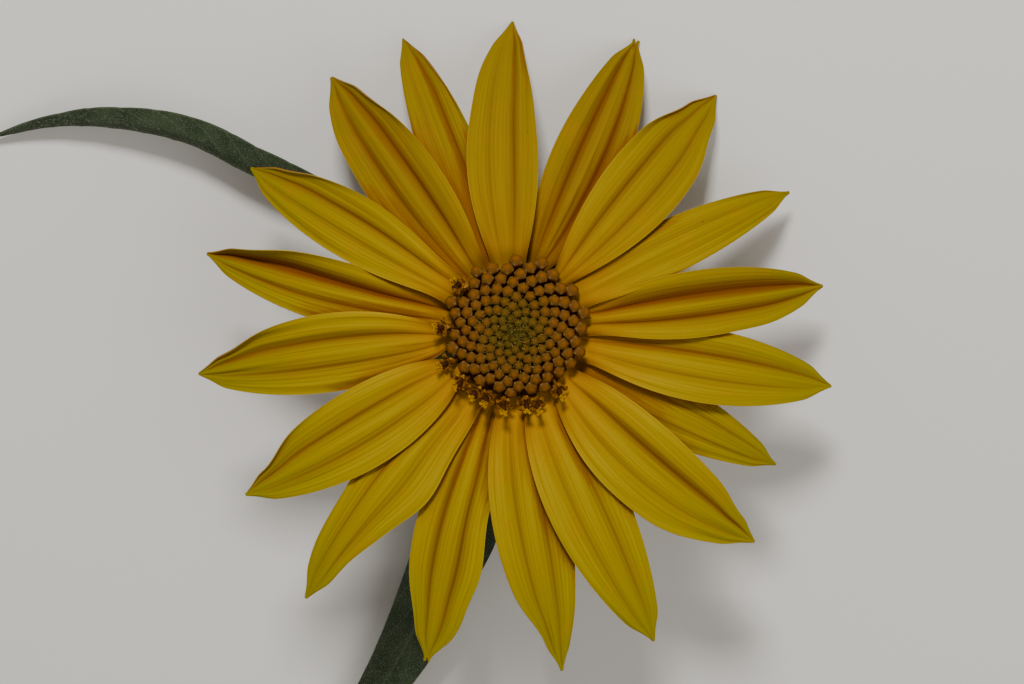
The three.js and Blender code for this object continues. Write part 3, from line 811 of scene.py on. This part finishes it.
tube = turned(TUBE_PROFILE, 2 * FLORET_SIDES)
lobe = ribbon(LOBE_LINE, LOBE_WIDTHS, LOBE_THICKNESS)
lobes = [copy_of(lobe, Matrix.Rotation(2 * math.pi * k / FLORET_SIDES, 4, "Z")) for k in range(FLORET_SIDES)]
bpy.data.objects.remove(lobe)
corolla = joined("corolla", [tube, *lobes])
corolla.data.materials.append(tan.material)

column = turned(COLUMN_PROFILE, 2 * FLORET_SIDES)
pinched(column, 2 * FLORET_SIDES, 2, COLUMN_GROOVE)
column.data.materials.append(brown.material)

style_parts = [turned(STYLE_PROFILE, ARM_SIDES)]
for side in (-1, 1):
    points = [Vector((side * distance, 0, height)) for distance, height in ARM_LINE]
    style_parts.append(tapering_tube(points, ARM_RADII, ARM_SIDES))
style = joined("style", style_parts)
style.data.materials.append(yellow.material)

open_parts = []
for clock, lean in OPEN_PLACES:
    where = (
        HEAD
        @ Matrix.Scale(MM, 4)
        @ Matrix.Rotation(-math.radians(clock), 4, "Z")
        @ Matrix.Translation((0, FLORET_SPREAD, FLORET_ROOT[1]))
        @ Matrix.Rotation(-RIM_LEAN * lean, 4, "X")
        @ Matrix.Rotation(stray(FLORET_TIP), 4, "Y")
    )
    spun = where @ Matrix.Rotation(chance.uniform(0, 2 * math.pi), 4, "Z")
    forked = where @ Matrix.Rotation(stray(FORK_TURN), 4, "Z")
    open_parts += [copy_of(corolla, spun), copy_of(column, spun), copy_of(style, forked)]
    for _ in range(POLLEN_COUNT):
        deselect()
        bpy.ops.mesh.primitive_ico_sphere_add(subdivisions=1, radius=chance.uniform(*POLLEN_SIZE))
        dust = bpy.context.object
        across, through, up = (stray(reach) for reach in POLLEN_SPREAD)
        dust.data.transform(forked @ Matrix.Translation((across, through, POLLEN_HEIGHT + up)))
        dust.data.materials.append(yellow.material)
        open_parts.append(dust)
for model in (corolla, column, style):
    bpy.data.objects.remove(model)
open_florets = joined("open_florets", open_parts)
shaded_smooth(open_florets, 50)
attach(open_florets, "root")
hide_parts("disc")


# The chaff: the pale hairy tips of the scales that stand between the youngest buds, in the middle
# of the disc. They are a little taller than the buds and end in points.

CHAFF_COUNT = 700
CHAFF_REACH = 4.8
CHAFF_POWER = 0.7
CHAFF_TURN = 1.7
CHAFF_LEAN = 0.25
CHAFF_ROOT = 1.7
CHAFF_RADIUS = (0.08, 0.15)
CHAFF_LENGTH = (0.6, 1.15)


def spikes(name, places):
    """One mesh of three-sided spikes, each from its root, along its direction, with its length and
    its radius at the foot."""
    points, faces = [], []
    for root, direction, length, radius in places:
        turn = direction.to_track_quat("Z", "Y")
        a = len(points)
        b, c, tip = a + 1, a + 2, a + 3
        for side in range(3):
            angle = 2 * math.pi * side / 3
            points.append(root + turn @ Vector((radius * math.cos(angle), radius * math.sin(angle), 0)))
        points.append(root + direction.normalized() * length)
        faces += [(a, b, tip), (b, c, tip), (c, a, tip), (c, b, a)]
    mesh = bpy.data.meshes.new(name)
    mesh.from_pydata(points, [], faces)
    piece = bpy.data.objects.new(name, mesh)
    bpy.context.collection.objects.link(piece)
    return piece


chaff_places = []
for n in range(CHAFF_COUNT):
    radius = CHAFF_REACH * ((n + 0.5) / CHAFF_COUNT) ** CHAFF_POWER
    stand = seat(radius, (n + 0.5) * GOLDEN_ANGLE * CHAFF_TURN, 0)
    direction = (stand.to_3x3() @ Vector((stray(CHAFF_LEAN), stray(CHAFF_LEAN), 1))).normalized()
    chaff_places.append((stand @ Vector((0, 0, CHAFF_ROOT)), direction, chance.uniform(*CHAFF_LENGTH) * MM,
                         chance.uniform(*CHAFF_RADIUS) * MM))
chaff = spikes("chaff_tips", chaff_places)
skin = Skin("chaff_pale", Roughness=0.6)
skin.paint(skin.mix(skin.ramp(skin.noise(1800.0, 1.0), 0.4, 0.65), (0.17, 0.12, 0.006), (0.46, 0.38, 0.10)))
chaff.data.materials.append(skin.material)
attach(chaff, "root")
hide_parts("disc")


# The petals' feet: under each petal sits a small pale green ovary, a flattened wedge that stands on
# the rim of the head behind the inner bracts and carries the petal at its top.

FOOT_LINE = ((8.5, -1.0), (8.9, -1.7), (8.4, -3.0))
FOOT_RADII = (0.75, 0.95, 0.6)
FOOT_SIDES = 10
FOOT_FLATTENED = 0.7
FOOT_BELOW_PETAL = 0.15

feet = []
for petal in PETALS:
    top = petal["lift"] - PETAL_RISE - FOOT_BELOW_PETAL
    points = [Vector((0, radius, height if step else top)) for step, (radius, height) in enumerate(FOOT_LINE)]
    points[1].z = (points[0].z + points[2].z) / 2
    foot = tapering_tube(points, FOOT_RADII, FOOT_SIDES)
    middle = Matrix.Translation((0, FOOT_LINE[1][0], 0))
    flatten = middle @ Matrix.Diagonal((1, FOOT_FLATTENED, 1, 1)) @ middle.inverted()
    turn_to_petal = Matrix.Rotation(-math.radians(petal["base"]), 4, "Z")
    foot.data.transform(HEAD @ Matrix.Scale(MM, 4) @ turn_to_petal @ flatten)
    feet.append(foot)
petal_feet = joined("petal_feet", feet)
skin = Skin("ovary_green", Roughness=0.6, Specular_IOR_Level=0.3)
skin.paint(skin.mix(skin.noise(900.0), (0.12, 0.135, 0.028), (0.23, 0.225, 0.075)))
petal_feet.data.materials.append(skin.material)
shaded_smooth(petal_feet, 60)
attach(petal_feet, "root")


# The involucre: the green cup that holds the head, with four rows of narrow bracts that spread
# and turn down. They are thin, channelled, grey with short hairs, and grow out of the cup.

CUP_PROFILE = ((1.7, -9.5), (2.8, -8.5), (5.2, -6.7), (7.8, -4.3), (9.0, -2.9), (8.7, -2.2))
CUP_SIDES = 48
BRACT_COUNT = 11
BRACT_HALF = 1.25
BRACT_THICKNESS = 0.28
BRACT_TAPER_POWER = 1.6
BRACT_TIP_SHARE = 0.08
BRACT_CHANNEL = 0.25
BRACT_CLOCK_JITTER = 2
BRACT_SWAY = 0.9
BRACT_LIFT = (-0.5, 0.4)
BRACT_ROWS_OF_FACES = 16
BRACT_COLUMNS = 6
BRACT_ROWS = (
    {"turn": 0, "line": ((6.6, -3.9), (9.8, -3.1), (14, -3.4), (17.6, -5), (19.8, -7.6))},
    {"turn": 11, "line": ((4.6, -5.7), (8.6, -5.4), (12.4, -6.2), (15.4, -8.2), (17, -10.8))},
    {"turn": 22, "line": ((2.7, -7.4), (6, -7.7), (9.2, -9), (11.6, -11.2), (12.8, -13.8))},
    {"turn": 5.5, "line": ((8.2, -3.3), (9.2, -2.5), (10.6, -2.2), (12, -2.5), (13.2, -3.3))},
)
BRACT_HAIRS = 46
BRACT_HAIRS_FROM = 0.1
BRACT_HAIRS_AT_MARGIN = 0.5
BRACT_HAIR_LENGTH = (0.4, 0.9)
BRACT_HAIR_OUT = 1.2
BRACT_HAIR_AHEAD = 0.8
BRACT_HAIR_JITTER = 0.3
HAIR_RADIUS = 0.035


def along_line(points, share):
    """A point of the smooth line through the points, and the direction it runs there."""
    place = min(max(share, 0.0), 1.0) * (len(points) - 1)
    k = min(int(place), len(points) - 2)
    w = place - k
    first, second = points[k], points[k + 1]
    before = points[k - 1] if k else 2 * first - second
    after = points[k + 2] if k + 2 < len(points) else 2 * second - first
    ends = ((before, first), (first, second), (second, after))
    near, own, far = [max((b - a).length, 1e-9) ** 0.5 for a, b in ends]
    leave = ((first - before) / near - (second - before) / (near + own) + (second - first) / own) * own
    reach = ((second - first) / own - (after - first) / (own + far) + (after - second) / far) * own
    a = 2 * first - 2 * second + leave + reach
    b = 3 * second - 3 * first - 2 * leave - reach
    return ((a * w + b) * w + leave) * w + first, ((3 * a * w + 2 * b) * w + leave).normalized()


# Short white hairs that lie all over a green skin: a mask of pale specks, and broader patches.
hoary, given, result = new_pattern("hoary_specks", {"Place": "Vector", "Fineness": "Float"},
                                   {"Specks": "Float", "Patches": "Float"})
cells = hoary.cells(given["Fineness"], given["Place"])
lottery = hoary.axis(cells.node.outputs["Color"], "X")
hoary.join(hoary.times(hoary.ramp(cells, 0.42, 0.12), hoary.ramp(lottery, 0.25, 0.9)), result["Specks"])
hoary.join(hoary.noise(320.0, 3.0, given["Place"]), result["Patches"])


def green_skin(name, dark, light, hair_tone, fineness, hair_share, bump):
    """A green skin with pale hairs: mottled, specked and slightly rough. Its colour isn't painted yet."""
    skin = Skin(name, Roughness=0.72, Specular_IOR_Level=0.3)
    specks = skin.node("Group", "Specks", {"Place": skin.place(), "Fineness": fineness}, node_tree=hoary.tree)
    patches = specks.node.outputs["Patches"]
    colour = skin.mix(skin.ramp(patches, 0.35, 0.65), dark, light)
    skin.emboss(skin.maths("ADD", patches, skin.times(specks, 0.5)), bump, 0.0002)
    return skin, skin.tint(colour, specks, hair_share, hair_tone)


def bract_point(bract, along, across):
    """A point of a bract's middle surface in the head's frame, in mm, and the way it faces."""
    point, ahead = along_line(bract["line"], along)
    taper = between(1, BRACT_TIP_SHARE, along ** BRACT_TAPER_POWER)
    point = point + bract["clockwise"] * (BRACT_HALF * taper * across + bract["sway"] * along * along)
    up = bract["clockwise"].cross(ahead)
    return point + up * (BRACT_CHANNEL * taper * abs(across) + bract["lift"] * along * along), up


cup = turned(CUP_PROFILE, CUP_SIDES)
cup.data.transform(HEAD @ Matrix.Scale(MM, 4))

flat_bract = blade_grid(BRACT_COLUMNS, BRACT_ROWS_OF_FACES)
bracts, hair_places = [], []
for row in BRACT_ROWS:
    for k in range(BRACT_COUNT):
        clock = row["turn"] + 360 * k / BRACT_COUNT + stray(BRACT_CLOCK_JITTER)
        clockwise = on_clock(1, clock + 90)
        bract = {"line": [on_clock(radius, clock, height) for radius, height in row["line"]],
                 "clockwise": clockwise, "sway": stray(BRACT_SWAY), "lift": chance.uniform(*BRACT_LIFT)}
        one = copy_of(flat_bract, Matrix.Identity(4))
        for vertex in one.data.vertices:
            point, _ = bract_point(bract, vertex.co.y + 0.5, 2 * vertex.co.x)
            vertex.co = HEAD @ (point * MM)
        bracts.append(one)
        for _ in range(BRACT_HAIRS):
            along = chance.uniform(BRACT_HAIRS_FROM, 1)
            margin = chance.random() < BRACT_HAIRS_AT_MARGIN
            across = chance.choice((-1, 1)) if margin else chance.uniform(-1, 1)
            root, up = bract_point(bract, along, across)
            _, ahead = along_line(bract["line"], along)
            lean = clockwise * across * BRACT_HAIR_OUT if margin else -up
            lean = lean + ahead * BRACT_HAIR_AHEAD + stray_point(BRACT_HAIR_JITTER)
            root = root if margin else root - up * BRACT_THICKNESS / 2
            hair_places.append((HEAD @ (root * MM), (HEAD.to_3x3() @ lean).normalized(),
                                chance.uniform(*BRACT_HAIR_LENGTH) * MM, HAIR_RADIUS * MM))
bpy.data.objects.remove(flat_bract)
bract_set = joined("bracts", bracts)
thicken(bract_set, BRACT_THICKNESS * MM)
skin, colour = green_skin("involucre_green", (0.075, 0.115, 0.035), (0.14, 0.19, 0.07),
                          (0.36, 0.40, 0.30), 5200.0, 0.55, 0.5)
skin.paint(colour)
involucre = joined("involucre_bracts", [cup, bract_set])
involucre.data.materials.append(skin.material)
shaded_smooth(involucre, 40)
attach(involucre, "root")
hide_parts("involucre")

white_hair = Skin("white_hair", Roughness=0.5)
white_hair.paint(white_hair.mix(white_hair.noise(400.0), (0.40, 0.43, 0.36), (0.60, 0.63, 0.55)))
bract_hair = spikes("bract_hair", hair_places)
bract_hair.data.materials.append(white_hair.material)
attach(bract_hair, "root")


# The stem: round, faintly ribbed and rough with white hairs, cut off straight and laid down, so
# its underside is pressed flat. It bends up through a right angle into the cup of the head.

STEM_RADIUS = 1.5
STEM_FLAT_HALF = math.radians(28)
STEM_REST = STEM_RADIUS * math.cos(STEM_FLAT_HALF)
STEM_BEND_RADIUS = 17.8
STEM_END = (3.5, -110)
STEM_TOP = -9.8
STEM_FOOT = Vector((*HEAD_STANDS.xy, 0))
STEM_RINGS = 150
STEM_SIDES = 36
STEM_RIBS = 12
STEM_RIB_DEPTH = 0.025
STEM_RIND = 0.35
STREAK_ROUND = 3
STREAK_ALONG = 0.09
STEM_HAIRS = 2600
STEM_HAIR_LENGTH = (0.35, 0.9)
STEM_HAIR_JITTER = 0.35
STEM_HAIR_FROM = 0.3
HAIR_CLEARANCE = 0.1
CURVE_STEPS = 200


def stem_line():
    """The middle line of the stem from the cup to the cut, in mm, as evenly spaced points."""
    lean = -HEAD_TILT
    top = Vector((0, STEM_TOP * math.sin(lean), HEAD_STANDS.z + STEM_TOP * math.cos(lean)))
    bend = math.pi / 2 - lean
    reach = 4 / 3 * math.tan(bend / 4) * STEM_BEND_RADIUS
    down = Vector((0, -math.sin(lean), -math.cos(lean)))
    landing = Vector((0, top.y - STEM_BEND_RADIUS * math.sin(bend), STEM_REST))
    end = Vector((*STEM_END, STEM_REST))
    middle = Vector((0, (landing.y + end.y) / 2, STEM_REST))
    curves = (
        (top, top + down * reach, landing + Vector((0, reach, 0)), landing),
        (landing, landing.lerp(middle, 2 / 3), end.lerp(middle, 2 / 3), end),
    )
    fine = []
    for a, b, c, d in curves:
        for step in range(CURVE_STEPS):
            t = step / CURVE_STEPS
            fine.append(a * (1 - t) ** 3 + 3 * b * t * (1 - t) ** 2 + 3 * c * t * t * (1 - t) + d * t ** 3)
    fine.append(end)
    lengths = [0.0]
    for a, b in zip(fine, fine[1:]):
        lengths.append(lengths[-1] + (b - a).length)
    line, k = [], 0
    for ring in range(STEM_RINGS + 1):
        want = lengths[-1] * ring / STEM_RINGS
        while k < len(fine) - 2 and lengths[k + 1] < want:
            k += 1
        line.append(fine[k].lerp(fine[k + 1], (want - lengths[k]) / (lengths[k + 1] - lengths[k])))
    return line


stem_points = stem_line()


def stem_place(ring, angle):
    """A point of the stem's skin, and the way it faces."""
    ahead = (stem_points[min(ring + 1, STEM_RINGS)] - stem_points[max(ring - 1, 0)]).normalized()
    side = Vector((1, 0, 0))
    side = (side - ahead * side.dot(ahead)).normalized()
    face = side * math.cos(angle) + side.cross(ahead) * math.sin(angle)
    radius = STEM_RADIUS * (1 - STEM_RIB_DEPTH + STEM_RIB_DEPTH * math.cos(STEM_RIBS * angle))
    point = stem_points[ring] + face * radius
    point.z = max(point.z, 0.0)
    return (point + STEM_FOOT) * MM, face


angles = [2 * math.pi * side / STEM_SIDES for side in range(STEM_SIDES)]
stem = lofted([[stem_place(ring, angle)[0] for angle in angles] for ring in range(STEM_RINGS + 1)])
stem.name = stem.data.name = "cut_stem"
work = bmesh.new()
work.from_mesh(stem.data)
work.faces.ensure_lookup_table()
cut = work.faces[-1]
cut.material_index = 1
bmesh.ops.inset_individual(work, faces=[cut], thickness=STEM_RIND * MM, depth=0)
cut.material_index = 2
work.to_mesh(stem.data)
work.free()
streaks = []
for vertex in range(len(stem.data.vertices)):
    ring, side = divmod(min(vertex, STEM_SIDES * (STEM_RINGS + 1) - 1), STEM_SIDES)
    x, y = STREAK_ROUND * math.cos(angles[side]), STREAK_ROUND * math.sin(angles[side])
    streaks.append(noise.noise(Vector((x, y, ring * STREAK_ALONG))) + 0.5)
keep_value(stem, "streak", streaks)
skin, colour = green_skin("stem_green", (0.115, 0.155, 0.045), (0.145, 0.185, 0.060),
                          (0.38, 0.42, 0.30), 4600.0, 0.5, 0.5)
skin.paint(skin.tint(colour, skin.ramp(skin.attribute("streak"), 0.35, 0.8), 0.6, (0.20, 0.24, 0.085)))
rind = Skin("stem_rind", Roughness=0.6)
rind.paint(rind.mix(rind.noise(2500.0), (0.22, 0.28, 0.10), (0.32, 0.38, 0.16)))
pith = Skin("stem_pith", Roughness=0.85)
pith.paint(pith.mix(pith.cells(5000.0), (0.70, 0.70, 0.55), (0.50, 0.52, 0.34)))
for layer in (skin, rind, pith):
    stem.data.materials.append(layer.material)
shaded_smooth(stem, 50)
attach(stem, "root")
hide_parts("stem")

hair_places = []
for _ in range(STEM_HAIRS):
    ring = chance.randrange(1, STEM_RINGS)
    root, face = stem_place(ring, chance.uniform(0, 2 * math.pi))
    if root.z < STEM_HAIR_FROM * MM:
        continue
    lean = (face + stray_point(STEM_HAIR_JITTER)).normalized()
    length = chance.uniform(*STEM_HAIR_LENGTH) * MM
    if root.z + lean.z * length > HAIR_CLEARANCE * MM:
        hair_places.append((root, lean, length, HAIR_RADIUS * MM))
stem_hair = spikes("stem_hair", hair_places)
stem_hair.data.materials.append(white_hair.material)
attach(stem_hair, "root")


# The two leaves: long narrow blades folded along the midrib and arched to their tips. They are
# thin and leathery, grey-green under a felt of short white hairs, and leave the stem by a short stalk.

LEAF_THICKNESS = 0.42
LEAF_STALK_HALF = 0.9
LEAF_FOOT = 0.45
LEAF_FOOT_LENGTH = 0.035
LEAF_TIP_HALF = 0.15
LEAF_LIFT = 0.05
LEAF_ROWS = 110
LEAF_COLUMNS = 26
LEAF_VEINS = 15
LEAF_VEIN_SLANT = 1.6
LEAF_VEIN_DEPTH = 0.07
LEAF_VEIN_FADE = 2.5
LEAF_RIPPLE = 0.25
LEAF_RIPPLE_PACE = (9, 3.1, 1)
LEAF_HINGE = 1 / 3
MIDRIB_WIDTH = 0.56
MIDRIB_HEIGHT = 0.35
LEAF_HAIRS = 20000
LEAF_HAIRS_BETWEEN = (0.02, 0.99)
LEAF_HAIR_LENGTH = (0.10, 0.24)
LEAF_HAIR_RADIUS = 0.02
LEAF_HAIR_OUT = (0.5, 1)
LEAF_HAIR_AHEAD = 0.9
LEAF_HAIR_STEP = 0.01
LEAF_HAIR_JITTER = 0.4
LEAF_HAIR_ROOT = 0.45
LEAF_HAIRS_AT_TIP = 0.15
LEAVES = (
    {"name": "leaf_left",
     "midrib": ((-1.25, -6.5, 7.5), (-14, -1.2, 6.4), (-29.8, 2.6, 6.4), (-42.2, 3.4, 6.2),
                (-52, 4.2, 5.4), (-62, 2.4, 4.2), (-71, -1.1, 2.7), (-80.6, -7.3, 1)),
     "opens": (-0.342, 0.883, -0.321), "width": 8.9, "full": 0.5, "fullness": 0.9, "fold": 65, "dents": ()},
    {"name": "leaf_back",
     "midrib": ((0, -10.5, 5.9), (0.4, -17, 10), (1.2, -27, 10.6), (1.6, -40, 8.2),
                (0.4, -60, 5.2), (-2.4, -72, 4.2), (-6, -82, 2), (-9, -90, 0.8)),
     "opens": (0, 0, 1), "width": 10.4, "full": 0.34, "fullness": 1.3, "fold": 20,
     "dents": ((-1, 0.37, -1.2, 0.1),)},
)


def leaf_point(leaf, along, across):
    """A point of the leaf's middle surface and the way it faces there."""
    point, ahead = along_line([Vector(point) for point in leaf["midrib"]], along)
    half = max(leaf["width"] / 2 * lance(along, leaf["full"], leaf["fullness"]),
               between(LEAF_STALK_HALF, LEAF_TIP_HALF, along))
    half += LEAF_FOOT * (1 - smooth(along / LEAF_FOOT_LENGTH))
    for dent_side, place, depth, spread in leaf["dents"]:
        half -= depth * hump(along - place, spread) * (across * dent_side > 0)
    fold = math.radians(leaf["fold"]) * math.sqrt(min(1, 2 * half / leaf["width"]))
    side = ahead.cross(Vector(leaf["opens"])).normalized()
    up = side.cross(ahead)
    inner = min(abs(across), LEAF_HINGE)
    outer = abs(across) - inner
    wide = inner * math.cos(fold / 2) + outer * math.cos(fold)
    high = inner * math.sin(fold / 2) + outer * math.sin(fold)
    sign = 1 if across > 0 else -1
    vein = math.cos(2 * math.pi * (LEAF_VEINS * along - LEAF_VEIN_SLANT * abs(across)))
    relief = -LEAF_VEIN_DEPTH * max(0.0, vein) ** 4 * min(1, half / LEAF_VEIN_FADE)
    relief -= MIDRIB_HEIGHT * hump(across * half, MIDRIB_WIDTH) * (1 - along)
    relief += LEAF_RIPPLE * abs(across) * wander(LEAF_RIPPLE_PACE, along, sign, leaf["width"])
    face = up * math.cos(fold) - side * sign * math.sin(fold)
    place = point + side * half * wide * sign + up * half * high + up * relief
    place.z = max(place.z, LEAF_THICKNESS / 2 + LEAF_LIFT)
    return (place + STEM_FOOT) * MM, face.normalized()


leaf_skin, colour = green_skin("leaf_hoary", (0.023, 0.039, 0.015), (0.040, 0.059, 0.027),
                               (0.165, 0.205, 0.145), 4000.0, 0.7, 0.6)
uv = leaf_skin.place("UV")
from_midrib = leaf_skin.maths("ABSOLUTE", leaf_skin.maths("SUBTRACT", leaf_skin.axis(uv, "X"), 0.5))
colour = leaf_skin.tint(colour, leaf_skin.ramp(from_midrib, 0.05, 0.012), 0.5, (0.085, 0.115, 0.055))
slant = leaf_skin.maths("SUBTRACT", leaf_skin.times(leaf_skin.axis(uv, "Y"), LEAF_VEINS),
                        leaf_skin.times(from_midrib, 2 * LEAF_VEIN_SLANT))
wave = leaf_skin.maths("COSINE", leaf_skin.times(slant, 2 * math.pi))
leaf_skin.paint(leaf_skin.tint(colour, leaf_skin.ramp(wave, 0.86, 1.0), 0.3, (0.08, 0.105, 0.05)))
felt_skin = Skin("leaf_felt", Roughness=0.6)
felt_skin.paint(felt_skin.mix(felt_skin.noise(300.0, 1.0), (0.22, 0.26, 0.20), (0.40, 0.43, 0.36)))

for leaf in LEAVES:
    blade = blade_grid(LEAF_COLUMNS, LEAF_ROWS)
    blade.name = blade.data.name = leaf["name"] + "_blade"
    for vertex in blade.data.vertices:
        vertex.co, _ = leaf_point(leaf, vertex.co.y + 0.5, 2 * vertex.co.x)
    thicken(blade, LEAF_THICKNESS * MM)
    blade.data.materials.append(leaf_skin.material)
    shaded_smooth(blade, 60)
    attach(blade, "root")
    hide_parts(leaf["name"])
    hair_places = []
    for _ in range(LEAF_HAIRS):
        along = chance.uniform(*LEAF_HAIRS_BETWEEN)
        across = chance.uniform(-1, 1)
        if chance.random() > max(lance(along, leaf["full"], leaf["fullness"]), LEAF_HAIRS_AT_TIP):
            continue
        root, face = leaf_point(leaf, along, across)
        side = chance.choice((-1, 1))
        further, _ = leaf_point(leaf, min(along + LEAF_HAIR_STEP, 1), across)
        ahead = (further - root).normalized()
        lean = face * side * chance.uniform(*LEAF_HAIR_OUT) + ahead * LEAF_HAIR_AHEAD
        lean = (lean + stray_point(LEAF_HAIR_JITTER)).normalized()
        root = root + face * side * LEAF_THICKNESS * MM * LEAF_HAIR_ROOT
        length = chance.uniform(*LEAF_HAIR_LENGTH) * MM
        if min(root.z, root.z + lean.z * length) > HAIR_CLEARANCE * MM:
            hair_places.append((root, lean, length, LEAF_HAIR_RADIUS * MM))
    felt = spikes(leaf["name"] + "_hair", hair_places)
    felt.data.materials.append(felt_skin.material)
    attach(felt, "root")
